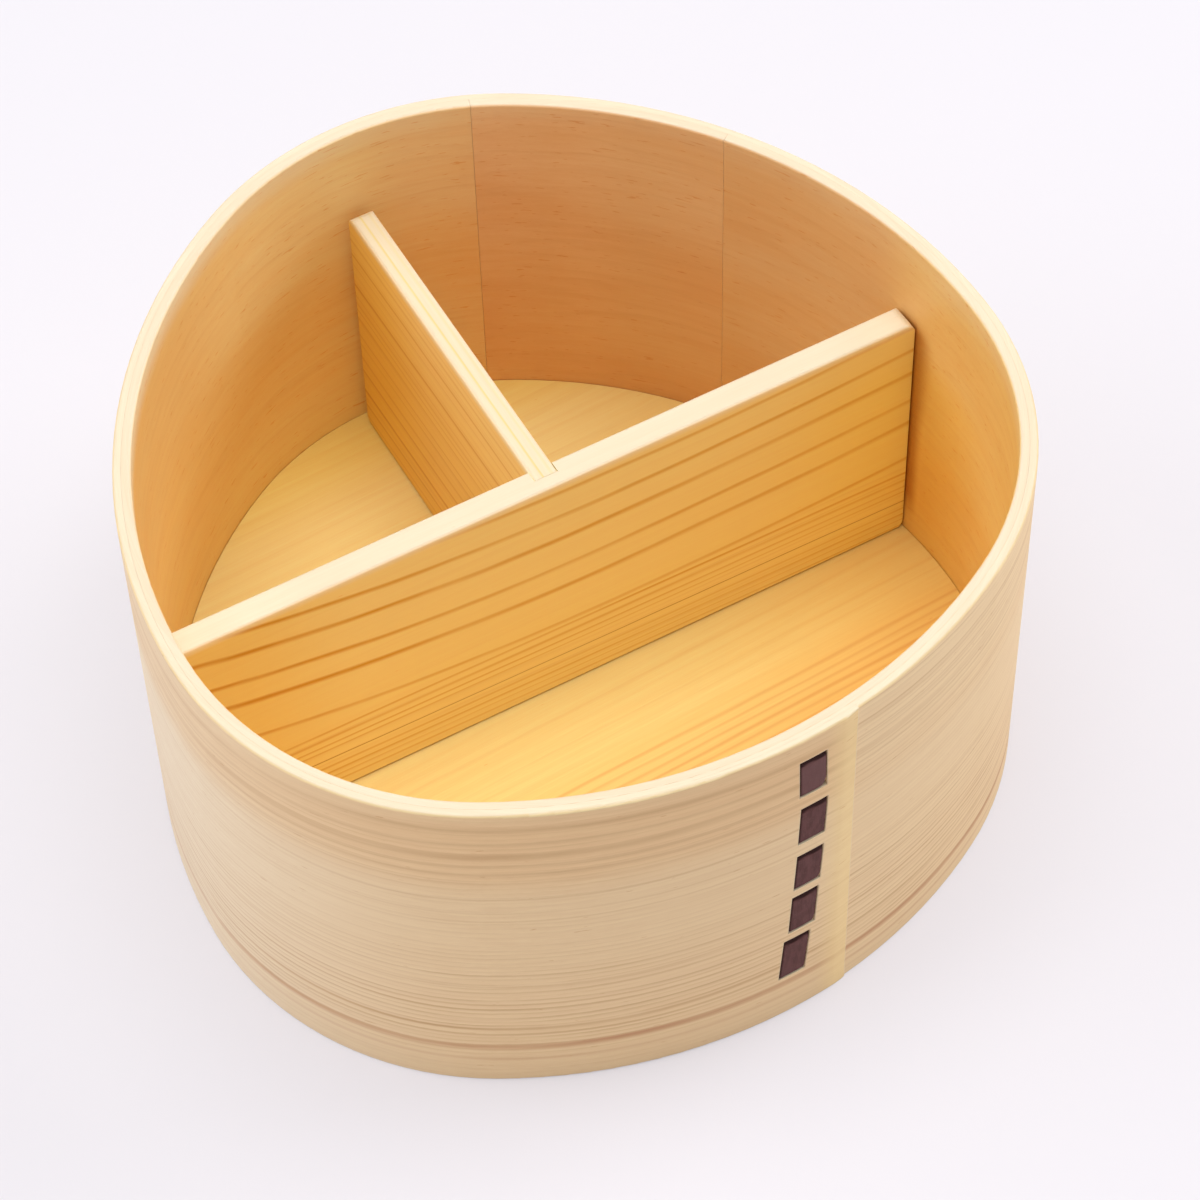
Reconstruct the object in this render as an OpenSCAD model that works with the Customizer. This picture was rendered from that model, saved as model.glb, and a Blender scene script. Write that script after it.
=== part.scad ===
// Bent-wood lunch box, a rounded triangle in plan: two thin plies bent into a band,
// a lap laced with bark, a bottom board and two lift-out dividers.
// Frame: +X runs along the long divider, +Y to the rounded apex, +Z up.
// The laced lap is on the front side, which faces -Y. The base rests at Z = 0.

/* [Outline] */
// Width across the box, the same in every direction
box_w = 140; // [120:1:170]
// Spacing of the centres of the two front corners
corner_spread = 35; // [28:1:46]
// Height from the base to the rim
box_h = 74; // [66:1:100]

/* [Walls] */
// Thickness of the outer ply
outer_t = 1.3; // [1.2:0.1:2]
// Thickness of the inner ply
inner_t = 1.5; // [1.2:0.1:2.5]
// Glue line between the plies
glue = 0.02; // [0.01:0.01:0.1]
// Radius of the rounded rim edges
rim_r = 0.5; // [0.2:0.1:0.8]
// Radius of the rounded lower edge of the outer ply
base_r = 0.3; // [0.1:0.1:0.6]
// Direction of the first seam of the inner ply, from +X
seam_a = 34.8; // [20:0.1:40]
// Turn from the first seam of the inner ply to the second
splice_a = 37.4; // [20:0.1:60]
// Width of an open seam
seam_w = 0.04; // [0.02:0.02:0.3]

/* [Lap] */
// How far the outer end of the lap stands proud of the band
lap_step = 0.45; // [0.3:0.05:1.2]
// Distance of the lap edge to the right of the front's middle
lap_x = 13; // [8:0.1:20]
// Length of the lap
lap_len = 27; // [20:1:34]
// Thickness of the tail that runs under the lap
tail_t = 0.6; // [0.4:0.1:0.8]
// Width of the rounded bevel that thins the proud end at the lap edge
bevel_w = 2.6; // [0.5:0.1:4]

/* [Bark lacing] */
// Width of the bark strip
bark_w = 4.7; // [3:0.1:6]
// Thickness of the bark strip
bark_t = 0.45; // [0.3:0.05:0.5]
// Heights of the visible stitches, from the top
stitch_hs = [9.1, 9.3, 9, 9.6, 10.4]; // [7:0.1:11]
// Bands of wood between the stitches, from the top
stitch_gaps = [3.2, 3.2, 2, 2]; // [1.6:0.1:4.5]
// Shifts of the hand-cut stitches along the front, from the top
stitch_shifts = [0, 0.25, -0.2, -0.85, -2.2]; // [-3:0.05:3]
// Leans of the hand-cut stitches from upright, from the top
stitch_leans = [-1.3, 2, 2.8, 2.9, 4.3]; // [-5:0.1:5]
// Distance from the rim to the first stitch
stitch_top = 5.4; // [4:0.1:7]
// Distance from the lap edge to the middle of the first stitch
lacing_in = 7.9; // [7:0.1:12]
// Depth of the bark below the wood at a stitch
stitch_sink = 0.1; // [0.05:0.05:0.2]
// Extra depth at a stitch's top, where it comes out of its slit
stitch_dip = 0.25; // [0.1:0.05:0.3]
// Height of the slope at a stitch's top
stitch_ramp = 1.6; // [1:0.1:2]
// Gap round the bark in its slits and pockets
bark_fit = 0.06; // [0.04:0.01:0.12]
// Depth of the strip's hidden runs below the outer ply
bark_bed = 0.2; // [0.15:0.05:0.4]
// Length of the strip's two ends, tucked between the plies
bark_tuck = 2.6; // [1:0.1:3]

/* [Bottom board] */
// Thickness of the bottom board
floor_t = 4.5; // [3:0.1:7]
// Gap round the bottom board
floor_fit = 0.1; // [0.05:0.05:0.3]

/* [Dividers] */
// Height of both dividers
divider_h = 53.3; // [35:0.1:55]
// Thickness of the long divider
long_t = 4.5; // [4:0.1:6]
// Middle of the long divider, from the middle of the box to the apex
long_y = 1.75; // [-10:0.05:14]
// Gap from each end of the long divider to the wall
long_gap = 0.4; // [0.3:0.05:1]
// Thickness of the short divider
short_t = 4.1; // [3:0.1:6]
// Middle of the short divider, to the right of the apex
short_x = 0.1; // [-12:0.05:12]
// Gap from the far end of the short divider to the wall
short_gap = 1.9; // [0.5:0.1:4]
// Depth of the dado that takes the short divider
dado_d = 2.2; // [1.5:0.1:3]
// Gap at each face of the short divider in its dado
dado_fit = 0.05; // [0.03:0.01:0.4]
// Radius of the rounded corners of a divider
board_r = 2; // [1:0.1:5]
// Radius of the eased long edges of a divider
edge_r = 0.5; // [0.2:0.1:1]

/* [Hidden] */
$fn = 144;

outer_wood = "#e6cda6";
inner_wood = "#d8a468";
floor_wood = "#f2c878";
board_wood = "#e3aa58";
bark = "#54383c";

// Room by which a cut passes the faces that it opens
over = 1;
// Length of a wedge's sides, in corner spacings
wedge_reach = 8;

// Rounds a length to a micron, so that the arcs of the outline meet exactly
function fine(x) = round(x * 1000) / 1000;

// The corner centres stand on a triangle with sides of whole units, equilateral to half a
// percent, so arcs drawn from them meet at round numbers: its base, its legs and its height
base_n = 240;
leg_n = 241;
rise_n = 209;
half_n = base_n / 2;
apex_n = leg_n - half_n;
unit = fine(corner_spread / base_n);
centres = [[0, apex_n], [-half_n, apex_n - rise_n], [half_n, apex_n - rise_n]] * unit;
apex = centres[0];
front_r = fine(box_w / 2) - half_n * unit;
side_r = front_r + base_n * unit;
front_side_r = front_r + leg_n * unit;

// Thickness of the two plies together
wall = outer_t + glue + inner_t;
// Height at which a side's inner face passes into the apex corner
apex_start = centres[1].y + (side_r - wall) * rise_n / leg_n;

// Radius of the corner arc about centre k, and of the side arc about it
function corner_arc(k) = k == 0 ? front_r - (leg_n - base_n) * unit : front_r;
function side_arc(k) = k == 0 ? front_side_r : side_r;

// A far point on the line from centre i through centre j
function beyond(i, j) = centres[i] + wedge_reach * (centres[j] - centres[i]);

// The plan sector of the corner arc about centre k, and of the side arc about it
function corner_wedge(k) = [centres[k], beyond((k + 1) % 3, k), beyond((k + 2) % 3, k)];
function side_wedge(k) = [centres[k], beyond(k, (k + 1) % 3), beyond(k, (k + 2) % 3)];

// A unit step in the plan direction a, counted from +X
function toward(a) = [cos(a), sin(a)];

// A far point of the front side, at a turn a about the apex from straight ahead
function front_far(a) = apex + 2 * box_w * toward(a - 90);

// Half the inside width of the box at a distance y from its middle
function half_width(y) =
  y < centres[2].y ? centres[2].x + half_chord(front_r - wall, y - centres[2].y)
  : y < apex_start ? centres[1].x + half_chord(side_r - wall, y - centres[1].y)
  : half_chord(corner_arc(0) - wall, y - apex.y);

// Half the chord of a circle of radius r at a distance d from its centre
function half_chord(r, d) = sqrt(r * r - d * d);

// The centre of an arc of radius r from p to q, to the left of the way between them
function arc_centre(p, q, r) =
  let (way = q - p)
  (p + q) / 2 + half_chord(r, norm(way) / 2) / norm(way) * [-way.y, way.x];

// The lap: its outer end runs on a larger arc that leaves the left front corner smoothly
// and stands proud by lap_step at the lap edge.
lap_a = asin(lap_x / front_side_r);
tail_a = asin((lap_x - lap_len) / front_side_r);
corner_turn = atan2(half_n, rise_n);
lap_unit = round(lap_step / (leg_n * (1 - cos(corner_turn + lap_a))) * 10000) / 10000;
lap_centre = apex + [half_n, rise_n] * lap_unit;
lap_r = front_side_r + leg_n * lap_unit;
tail_r = front_side_r - outer_t + tail_t;
glue_turn = glue / 2 / tail_r * 180 / PI;
lap_edge_a = asin((lap_x + lap_step * sin(lap_a) - lap_centre.x) / lap_r) - 90;

// The bevel: its depth at the lap edge, and its arc's two ends seen from there. The arc is
// flatter than 0.5, at which it would leave the proud surface smoothly.
bevel_flat = 0.7;
bevel_d = fine(2 * lap_step / 3);
bevel_from = [-bevel_w * bevel_w / 2 / lap_r, -bevel_w];
bevel_to = [-bevel_d, 0];
bevel_r = bevel_flat * pow(norm(bevel_to - bevel_from), 2) / (bevel_from.x - bevel_to.x);

// The lacing: its direction from the lap's centre, and its depths below the wood's surface
lacing_x = lap_x - lacing_in;
lacing_a = asin((lacing_x - lap_centre.x) / lap_r) - 90;
lacing_turn = corner_turn + asin(lacing_x / front_side_r);
lap_depth = outer_t + leg_n * lap_unit * (1 - cos(lacing_turn));
back_n = -lap_depth - bark_bed;
stitch_n = len(stitch_hs);
last = stitch_n - 1;

// How far stitch i starts below the first, and the heights of its two ends
function stitch_drop(i) = i == 0 ? 0 : stitch_drop(i - 1) + stitch_hs[i - 1] + stitch_gaps[i - 1];
function stitch_high(i) = box_h - stitch_top - stitch_drop(i);
function stitch_low(i) = stitch_high(i) - stitch_hs[i];

// A point on the middle line of stitch i, a strip's thickness past its top for end 1, or past
// its foot for end -1: how far along the front, and how high
function stitch_end(i, end) =
  let (reach = end * (stitch_hs[i] / 2 + bark_t))
  [stitch_shifts[i] + reach * tan(stitch_leans[i]), stitch_high(i) - stitch_hs[i] / 2 + reach];

// The strip's middle line, from the rim to the base
lacing_line = concat(
  [[stitch_end(0, 1).x, box_h]],
  [for (i = [0:last], end = [1, -1]) stitch_end(i, end)],
  [[stitch_end(last, -1).x, 0]]
);

// A prism over a plan outline, tall enough to cut the whole wall
module full_height(points) {
  translate([0, 0, -over])
    linear_extrude(box_h + 2 * over)
      polygon(points);
}

// Sweeps a wall profile round one arc of the outline
module swept_arc(centre, radius, wedge) {
  intersection() {
    translate(centre)
      rotate_extrude()
        translate([radius, 0])
          children();
    full_height(wedge);
  }
}

// Sweeps a wall profile round the whole outline, or leaves out the front side
module swept_wall(with_front = true) {
  for (k = [0:2]) {
    swept_arc(centres[k], corner_arc(k), corner_wedge(k))
      children();
    if (with_front || k > 0)
      swept_arc(centres[k], side_arc(k), side_wedge(k))
        children();
  }
}

// The plan of the box, drawn in by inset all round
module plan(inset) {
  for (k = [0:2]) {
    intersection() {
      translate(centres[k])
        circle(corner_arc(k) - inset);
      polygon(corner_wedge(k));
    }
    intersection() {
      translate(centres[k])
        circle(side_arc(k) - inset);
      polygon(side_wedge(k));
    }
  }
}

// A rectangle standing on the X axis, with rounded corners
module rounded_board(w, h, r) {
  difference() {
    translate([-w / 2, 0])
      square([w, h]);
    for (side = [-1, 1], top = [0, 1])
      translate([side * w / 2, top * h])
        scale([-side, top ? -1 : 1])
          corner_waste(r);
  }
}

// What a rounding of radius r takes off a square corner at the origin
module corner_waste(r) {
  difference() {
    translate([-over, -over])
      square(r + over);
    translate([r, r])
      circle(r);
  }
}

// Section of the outer ply, from its outer face inwards to depth t
module outer_section(t) {
  difference() {
    translate([-t, 0])
      square([t, box_h]);
    translate([0, box_h])
      rotate(180)
        corner_waste(rim_r);
    rotate(90)
      corner_waste(base_r);
  }
}

// Section of the inner ply, placed from the outer face of the box
module inner_section() {
  difference() {
    translate([-wall, 0])
      square([inner_t, box_h]);
    translate([-wall, box_h])
      rotate(-90)
        corner_waste(rim_r);
  }
}

// The front side of the outer ply: the plain band right of the lap edge, and left of it
// the proud end, which is thicker because the tail is still part of it here.
module front_side() {
  swept_arc(apex, front_side_r, [apex, front_far(lap_a), beyond(0, 2)])
    outer_section(outer_t);
  difference() {
    swept_arc(lap_centre, lap_r, [apex, beyond(0, 1), front_far(lap_a)])
      outer_section(outer_t + 2 * lap_step);
    translate([apex.x, apex.y, -over])
      cylinder(r = front_side_r - outer_t, h = box_h + 2 * over);
  }
}

// The open glue line that parts the lap's proud end from the tail below it
module lap_line() {
  translate([apex.x, apex.y, -over]) {
    rotate(lap_a - 90)
      translate([tail_r + glue / 2, 0])
        cube([outer_t + 2 * lap_step, glue, box_h + 2 * over]);
    rotate(tail_a - 90)
      translate([tail_r - outer_t, -glue])
        cube([outer_t + glue / 2, glue, box_h + 2 * over]);
  }
  swept_arc(apex, tail_r, [apex, front_far(tail_a - glue_turn), front_far(lap_a + glue_turn)])
    translate([0, -over])
      square([glue, box_h + 2 * over]);
}

// What the bevel takes off the proud end: all that lies outside its arc, up to the lap edge
module lap_bevel() {
  translate([lap_centre.x, lap_centre.y, -over])
    rotate(lap_edge_a)
      translate([lap_r, 0])
        linear_extrude(box_h + 2 * over)
          difference() {
            translate([bevel_to.x, bevel_from.y])
              square([bevel_d + over, bevel_w + over]);
            translate(arc_centre(bevel_from, bevel_to, bevel_r))
              circle(bevel_r);
          }
}

// Places the lacing's own frame on the wall: X outwards from the wood's surface, Y along the
// front from the middle of the first stitch, Z up from the base
module on_lacing() {
  translate(lap_centre)
    rotate(lacing_a)
      translate([lap_r, 0])
        children();
}

// Side view of visible stitch i with its two legs through the wall, drawn out by grow all round
module stitch(i, grow) {
  front = -stitch_sink + grow;
  deep = -stitch_sink - bark_t - grow;
  inner = back_n - bark_t - grow;
  high = stitch_high(i) + grow;
  low = stitch_low(i) - grow;
  leg = bark_t + 2 * grow;
  bend = stitch_high(i) - stitch_ramp;
  polygon([
    [inner, low], [front, low], [front, bend], [front - stitch_dip, high], [inner, high],
    [inner, high - leg], [deep - stitch_dip, high - leg], [deep, bend - bark_t],
    [deep, low + leg], [inner, low + leg]
  ]);
}

// Side view of the strip's hidden runs, drawn out by grow, and by room more towards the outside
module hidden_runs(grow, room = 0) {
  hidden_run(stitch_high(0) - bark_t, stitch_high(0) + bark_tuck, grow, room);
  for (i = [1:last])
    hidden_run(stitch_high(i) - bark_t, stitch_low(i - 1) + bark_t, grow, room);
  hidden_run(stitch_low(last) - bark_tuck, stitch_low(last) + bark_t, grow, room);
}

// One run between the plies, from height low to height high
module hidden_run(low, high, grow, room) {
  translate([back_n - bark_t - grow, low - grow])
    square([bark_t + 2 * grow + room, high - low + 2 * grow]);
}

// A side view on the lacing, as wide as the strip drawn out by grow, along its middle line
module on_strip(grow) {
  half = bark_w / 2 + grow;
  left = [for (p = lacing_line) p - [half, 0]];
  right = [for (i = [len(lacing_line) - 1:-1:0]) lacing_line[i] + [half, 0]];
  on_lacing()
    intersection() {
      translate([0, box_w / 2, 0])
        rotate([90, 0, 0])
          linear_extrude(box_w)
            children();
      translate([-2 * wall, 0, 0])
        rotate([90, 0, 90])
          linear_extrude(4 * wall)
            polygon(concat(left, right));
    }
}

// The slits through the outer ply and the pockets that its stitches lie in
module stitch_space() {
  on_strip(bark_fit)
    for (i = [0:last]) {
      stitch(i, bark_fit);
      translate([-stitch_sink - stitch_dip, stitch_low(i) - bark_fit])
        square([stitch_dip + over, stitch_hs[i] + 2 * bark_fit]);
    }
}

// The beds that the hidden runs lie in, cut into the inner ply from its outer face
module run_space() {
  on_strip(bark_fit)
    hidden_runs(bark_fit, over);
}

// Wedge from the middle of the box between the inner ply's seams, drawn in by a seam width
module splice_wedge(inset) {
  turn = inset / (box_w / 2) * 180 / PI;
  full_height([[0, 0], box_w * toward(seam_a + turn), box_w * toward(seam_a + splice_a - turn)]);
}

module inner_wall() {
  swept_wall()
    inner_section();
}

module outer_band() color(outer_wood) {
  difference() {
    union() {
      swept_wall(with_front = false)
        outer_section(outer_t);
      front_side();
    }
    lap_line();
    lap_bevel();
    stitch_space();
  }
}

module inner_band() color(inner_wood) {
  difference() {
    inner_wall();
    splice_wedge(0);
    run_space();
  }
}

module inner_splice() color(inner_wood) {
  intersection() {
    inner_wall();
    splice_wedge(seam_w);
  }
}

module bottom_board() color(floor_wood) {
  linear_extrude(floor_t)
    plan(wall + floor_fit);
}

module bark_lacing() color(bark) {
  on_strip(0) {
    for (i = [0:last])
      stitch(i, 0);
    hidden_runs(0);
  }
}

module long_divider() color(board_wood) {
  front = long_y - long_t / 2;
  back = long_y + long_t / 2;
  front_x = half_width(front) - long_gap;
  back_x = half_width(back) - long_gap;
  length = 2 * max(front_x, back_x);
  translate([0, 0, floor_t])
    difference() {
      intersection() {
        linear_extrude(divider_h)
          polygon([[-front_x, front], [front_x, front], [back_x, back], [-back_x, back]]);
        translate([0, back, 0])
          rotate([90, 0, 0])
            linear_extrude(long_t)
              rounded_board(length, divider_h, board_r);
        translate([-length / 2, long_y, 0])
          rotate([90, 0, 90])
            linear_extrude(length)
              rounded_board(long_t, divider_h, edge_r);
      }
      translate([short_x - short_t / 2 - dado_fit, back - dado_d, -over])
        cube([short_t + 2 * dado_fit, dado_d + over, divider_h + 2 * over]);
    }
}

module short_divider() color(board_wood) {
  near = long_y + long_t / 2 - dado_d + dado_fit;
  far = apex.y + half_chord(corner_arc(0) - wall, abs(short_x) + short_t / 2) - short_gap;
  length = far - near;
  translate([short_x, near, floor_t])
    intersection() {
      translate([-short_t / 2, 0, 0])
        cube([short_t, length, divider_h]);
      translate([-short_t / 2, 0, 0])
        rotate([90, 0, 90])
          linear_extrude(short_t)
            rounded_board(2 * length, divider_h, board_r);
      translate([0, length, 0])
        rotate([90, 0, 0])
          linear_extrude(length)
            rounded_board(short_t, divider_h, edge_r);
    }
}

outer_band();
inner_band();
inner_splice();
bottom_board();
bark_lacing();
long_divider();
short_divider();
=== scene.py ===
"""Looks of a bent-wood bento box: two bent plies, a bark-laced lap, a bottom board and two dividers."""
import math

import bmesh
import bpy
from mathutils import Matrix, Vector


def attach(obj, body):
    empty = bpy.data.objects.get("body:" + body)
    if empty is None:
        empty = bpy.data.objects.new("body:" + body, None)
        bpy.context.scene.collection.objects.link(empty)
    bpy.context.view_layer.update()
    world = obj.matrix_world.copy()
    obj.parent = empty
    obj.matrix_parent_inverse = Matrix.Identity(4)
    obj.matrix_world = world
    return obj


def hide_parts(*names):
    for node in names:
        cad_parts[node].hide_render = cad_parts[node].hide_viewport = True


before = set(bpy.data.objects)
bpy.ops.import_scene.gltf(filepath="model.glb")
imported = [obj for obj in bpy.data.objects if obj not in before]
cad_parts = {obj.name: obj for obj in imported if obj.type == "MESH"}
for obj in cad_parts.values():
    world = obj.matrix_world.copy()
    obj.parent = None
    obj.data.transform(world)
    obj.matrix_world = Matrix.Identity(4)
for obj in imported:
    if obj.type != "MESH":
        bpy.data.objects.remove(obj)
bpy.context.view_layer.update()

MM = 0.001
BOX_H = 74.0
BOX_W = 140.0
FLOOR_T = 4.5
DIVIDER_TOP = 57.8
# Front face of the long divider and left face of the short one
LONG_FACE_Y = -0.5
SHORT_FACE_X = -1.95
# Direction of the lap edge and of the inner ply's first seam about the middle of the box
LAP_TURN = math.radians(280.57)
SEAM_TURN = math.radians(34.8)
# Mean radius of the bent walls, which turns an angle into a length along the strip
WALL_R = 68.0
# The most that the outer band's grain rises along the strip, and its rise where lines lie at the heights given
DRIFT_MAX = 12.0
DRIFT_LEVEL = 10.0
# Height that the dividers' colour zones are spread over
ZONE_H = 60.0
# How close a board stands for the painted shade on the wall beside it
CORNER_REACH = 12.0
WOOD_IOR = 1.48


def srgb(red, green, blue):
    """A colour written in 0 to 255, as the linear colour that shaders take."""
    def linear(v):
        v /= 255
        return v / 12.92 if v <= 0.04045 else ((v + 0.055) / 1.055) ** 2.4
    return linear(red), linear(green), linear(blue), 1.0


def add(tree, kind, inputs=None, **settings):
    """Adds a shader node; an input is a socket to link or a value to set."""
    node = tree.nodes.new("ShaderNode" + kind)
    for key, value in settings.items():
        setattr(node, key, value)
    for key, value in (inputs or {}).items():
        if isinstance(value, bpy.types.NodeSocket):
            tree.links.new(value, node.inputs[key])
        else:
            node.inputs[key].default_value = value
    return node


def calc(tree, operation, *values, clamp=False):
    """The result of one step of arithmetic."""
    return add(tree, "Math", dict(enumerate(values)), operation=operation, use_clamp=clamp).outputs[0]


def times(tree, *values):
    """All the values multiplied together."""
    total = values[0]
    for value in values[1:]:
        total = calc(tree, "MULTIPLY", total, value)
    return total


def rescaled(tree, value, factor, offset):
    """A value times a factor, plus an offset."""
    return calc(tree, "MULTIPLY_ADD", value, factor, offset)


def spread(tree, value, low, high, new_low=0.0, new_high=1.0):
    """Maps low to high on to a new range, smoothly at both ends, and holds it there."""
    given = {"Value": value, "From Min": low, "From Max": high, "To Min": new_low, "To Max": new_high}
    return add(tree, "MapRange", given, interpolation_type="SMOOTHSTEP").outputs["Result"]


def mix(tree, share, first, second, blend="MIX"):
    """The first colour with a share of the second in it."""
    return add(tree, "Mix", {0: share, 6: first, 7: second}, data_type="RGBA", blend_type=blend).outputs[2]


def tint(tree, share, colour, red, green, blue):
    """A colour whose red, green and blue are lowered by these factors, in full where the share is 1."""
    return mix(tree, share, colour, (red, green, blue, 1.0), "MULTIPLY")


def zones(tree, factor, stops):
    """Broad zones across a board: (place from 0 to 1, colour or grey level)."""
    node = add(tree, "ValToRGB", {"Fac": factor})
    ramp = node.color_ramp
    ramp.interpolation = "EASE"
    while len(ramp.elements) < len(stops):
        ramp.elements.new(0.5)
    for element, (place, level) in zip(ramp.elements, stops):
        element.position = place
        element.color = level if isinstance(level, tuple) else (level, level, level, 1.0)
    return node.outputs["Color"]


def noise(tree, place, along, across, detail, rough=0.5, through=None):
    """Noise over a place in millimetres, with its own scale along, across and through the grain."""
    scales = (along, across, across if through is None else through)
    scaled = add(tree, "VectorMath", {0: place, 1: scales}, operation="MULTIPLY").outputs[0]
    return add(tree, "TexNoise", {"Vector": scaled, "Scale": 1.0, "Detail": detail, "Roughness": rough}).outputs[0]


def object_mm(tree):
    """The object's own coordinates in millimetres."""
    place = add(tree, "TexCoord").outputs["Object"]
    return add(tree, "VectorMath", {0: place, "Scale": 1 / MM}, operation="SCALE").outputs[0]


def joined(tree, along, across, through=0.0):
    """Three coordinates as one place."""
    return add(tree, "CombineXYZ", {0: along, 1: across, 2: through}).outputs[0]


def new_group(name, inputs, outputs):
    """A node group with named inputs, each with its default, and named outputs, each with its kind."""
    tree = bpy.data.node_groups.new(name, "ShaderNodeTree")
    for title, default in inputs:
        kind = "NodeSocketVector" if isinstance(default, tuple) else "NodeSocketFloat"
        socket = tree.interface.new_socket(title, in_out="INPUT", socket_type=kind)
        socket.default_value = default
    for title, kind in outputs:
        tree.interface.new_socket(title, in_out="OUTPUT", socket_type="NodeSocket" + kind)
    return tree, tree.nodes.new("NodeGroupInput").outputs, tree.nodes.new("NodeGroupOutput").inputs


def use(tree, group, **inputs):
    """Puts a node group to use and gives its outputs; an input's name is written with underscores."""
    named = {key.replace("_", " "): value for key, value in inputs.items()}
    return add(tree, "Group", named, node_tree=group).outputs


def strip_place_group():
    """Where a point lies on a strip that was bent round the box, in millimetres along and up it."""
    tree, given, out = new_group(
        "strip_place", [("End Turn", 0.0)],
        [("Along", "Float"), ("Height", "Float"), ("Turn", "Float"), ("Depth", "Float")],
    )
    back = calc(tree, "SUBTRACT", -math.pi, given["End Turn"])
    turned = add(tree, "VectorRotate", {"Vector": object_mm(tree), "Angle": back}, rotation_type="Z_AXIS").outputs[0]
    xyz = add(tree, "SeparateXYZ", {0: turned}).outputs
    angle = calc(tree, "ARCTAN2", xyz["Y"], xyz["X"])
    depth = add(tree, "VectorMath", {0: joined(tree, xyz["X"], xyz["Y"])}, operation="LENGTH").outputs["Value"]
    tree.links.new(calc(tree, "MULTIPLY", angle, WALL_R), out["Along"])
    tree.links.new(xyz["Z"], out["Height"])
    tree.links.new(rescaled(tree, angle, 0.5 / math.pi, 0.5), out["Turn"])
    tree.links.new(depth, out["Depth"])
    return tree


def wood_fibre_group():
    """Streaks, fine fibre and short dark flecks along the grain; Place is along, across and through, in mm."""
    tree, given, out = new_group(
        "wood_fibre", [("Place", (0.0, 0.0, 0.0)), ("Fleck Amount", 0.5)],
        [("Streak", "Float"), ("Fibre", "Float"), ("Fleck", "Float")],
    )
    place = given["Place"]
    tree.links.new(noise(tree, place, 0.018, 0.9, 5.0, 0.62), out["Streak"])
    tree.links.new(noise(tree, place, 0.16, 6.0, 4.0, 0.6), out["Fibre"])
    dash = noise(tree, place, 0.32, 2.6, 1.0, 0.4)
    edge = rescaled(tree, given["Fleck Amount"], -0.12, 0.8)
    tree.links.new(spread(tree, dash, edge, calc(tree, "ADD", edge, 0.05)), out["Fleck"])
    return tree


def ring_lines_group():
    """Close growth rings: each darkens slowly and ends sharply, and no two are quite alike."""
    tree, given, out = new_group(
        "ring_lines",
        [
            ("Across", 0.0), ("Place", (0.0, 0.0, 0.0)), ("Spacing", 1.3), ("Waver", 0.8), ("Uneven", 2.0),
            ("Sharp", 3.0),
        ],
        [("Line", "Float")],
    )
    place = given["Place"]
    bend = noise(tree, place, 0.011, 0.09, 2.0)
    uneven = noise(tree, place, 0.0015, 0.33, 1.0)
    phase = calc(tree, "DIVIDE", given["Across"], given["Spacing"])
    phase = rescaled(tree, calc(tree, "SUBTRACT", bend, 0.5), given["Waver"], phase)
    phase = rescaled(tree, uneven, given["Uneven"], phase)
    saw = calc(tree, "FRACT", phase)
    rise = calc(tree, "POWER", saw, given["Sharp"])
    fall = calc(tree, "MULTIPLY", calc(tree, "SUBTRACT", 1.0, saw), 7.0, clamp=True)
    own = add(tree, "TexWhiteNoise", {"W": calc(tree, "FLOOR", phase)}, noise_dimensions="1D").outputs["Value"]
    own = rescaled(tree, own, 0.75, 0.25)
    patch = spread(tree, noise(tree, place, 0.03, 0.6, 2.0), 0.3, 0.65, 0.35, 1.0)
    tree.links.new(times(tree, rise, fall, own, patch), out["Line"])
    return tree


def latewood_line_group():
    """One latewood line on top of those before it: soft below, sharper above, Width to each side in mm."""
    tree, given, out = new_group(
        "latewood_line", [("Before", 0.0), ("Across", 0.0), ("At", 0.0), ("Width", 0.5), ("Strength", 0.5)],
        [("Line", "Float")],
    )
    off = calc(tree, "DIVIDE", calc(tree, "SUBTRACT", given["Across"], given["At"]), given["Width"])
    far = calc(tree, "MAXIMUM", calc(tree, "MULTIPLY", off, 1.5), calc(tree, "MULTIPLY", off, -1.0))
    line = times(tree, spread(tree, far, 1.0, 0.0), given["Strength"])
    tree.links.new(calc(tree, "MAXIMUM", given["Before"], line), out["Line"])
    return tree


def eased_edge_group():
    """Marks edges that hands and sandpaper have eased, and rounds the light on them."""
    tree, given, out = new_group("eased_edge", [("Radius", 0.0004)], [("Edge", "Float"), ("Normal", "Vector")])
    rounded = add(tree, "Bevel", {"Radius": given["Radius"]}, samples=6).outputs["Normal"]
    plain = add(tree, "NewGeometry").outputs["Normal"]
    same = add(tree, "VectorMath", {0: rounded, 1: plain}, operation="DOT_PRODUCT").outputs["Value"]
    side = spread(tree, add(tree, "SeparateXYZ", {0: plain}).outputs["Z"], 0.995, 0.97)
    tree.links.new(times(tree, spread(tree, same, 0.995, 0.8), side), out["Edge"])
    kept = add(tree, "Mix", {0: side, 4: plain, 5: rounded}, data_type="VECTOR")
    tree.links.new(kept.outputs[1], out["Normal"])
    return tree


STRIP_PLACE = strip_place_group()
WOOD_FIBRE = wood_fibre_group()
RING_LINES = ring_lines_group()
LATEWOOD_LINE = latewood_line_group()
EASED_EDGE = eased_edge_group()


def latewood(tree, across, lines):
    """Latewood lines at their places across the board: (place, half width, strength), in mm."""
    mask = 0.0
    for at, width, strength in lines:
        mask = use(tree, LATEWOOD_LINE, Before=mask, Across=across, At=at, Width=width, Strength=strength)["Line"]
    return mask


def rings(tree, across, place, spacing, waver, sharp, uneven=2.0):
    """Close growth rings, spaced in mm."""
    lines = use(tree, RING_LINES, Across=across, Place=place, Spacing=spacing, Waver=waver, Uneven=uneven, Sharp=sharp)
    return lines["Line"]


def wandered(tree, across, wander, reach):
    """The place across the grain, moved by a wander of 0 to 1 over a reach in mm."""
    return rescaled(tree, calc(tree, "SUBTRACT", wander, 0.5), reach, across)


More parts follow.
